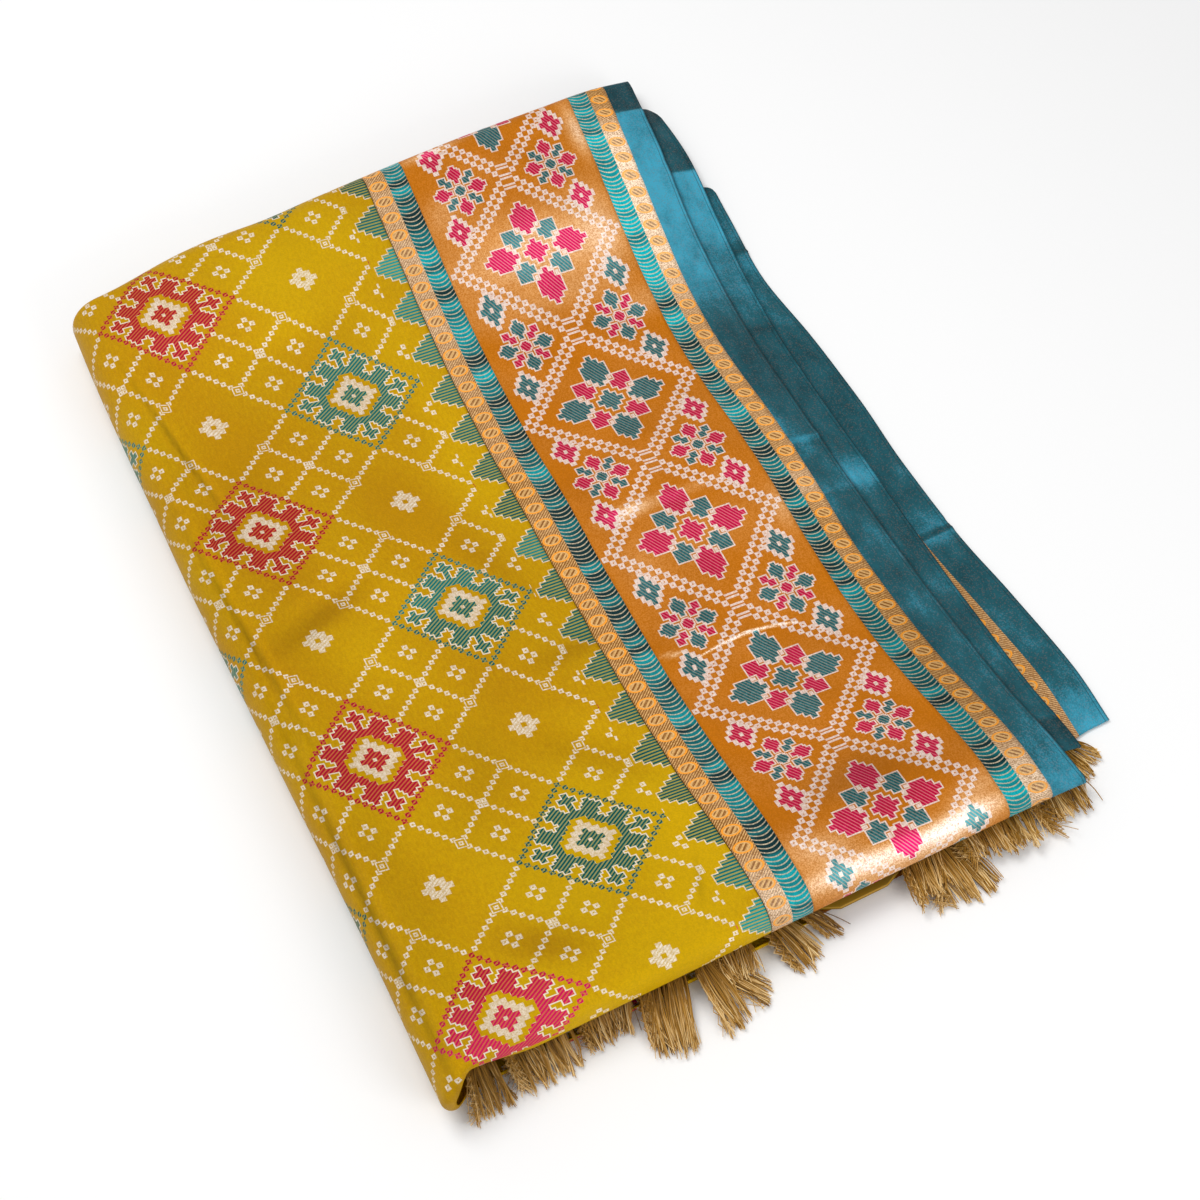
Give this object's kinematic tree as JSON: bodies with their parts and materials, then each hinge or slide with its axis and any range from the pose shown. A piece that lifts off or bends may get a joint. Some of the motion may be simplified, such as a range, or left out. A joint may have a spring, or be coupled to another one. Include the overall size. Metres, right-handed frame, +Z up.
{
  "type": "folded saree",
  "caption": "Silk saree folded flat as a parcel, with a brocade border, layered selvedges along one side and a tasselled end.",
  "frame": {"origin": "centre of the folded parcel's bounding box, at the surface that it rests on", "axes": "+X across the parcel from the folded side to the layered selvedges, +Y along it from the tasselled end to the far end, +Z up from the surface that it rests on"},
  "size_m": [0.3254, 0.4482, 0.0331],
  "materials": {
    "field_silk": "golden yellow silk with a soft sheen",
    "border_brocade": "orange silk brocade with gold thread and a satin sheen",
    "selvedge_silk": "teal silk with a soft sheen",
    "tassel_thread": "twisted golden brown silk thread"
  },
  "bodies": {
    "root": {"field_cloth": "field_silk", "border_cloth": "border_brocade", "selvedge_top": "selvedge_silk", "selvedge_middle": "selvedge_silk", "border_lowest": "border_brocade", "inner_folds": "field_silk", "tassel_corner": "tassel_thread", "tassel_long_left": "tassel_thread", "tassel_short_left": "tassel_thread", "tassel_full": "tassel_thread", "tassel_swept": "tassel_thread", "tassel_tuft": "tassel_thread", "tassel_comb": "tassel_thread", "tassel_loose": "tassel_thread", "tassel_loose_side": "tassel_thread", "tassel_thick": "tassel_thread", "tassel_under_thick": "tassel_thread", "tassel_band_comb": "tassel_thread", "tassel_selvedge_comb": "tassel_thread", "tassel_fold_tuft": "tassel_thread"}
  },
  "joints": []
}
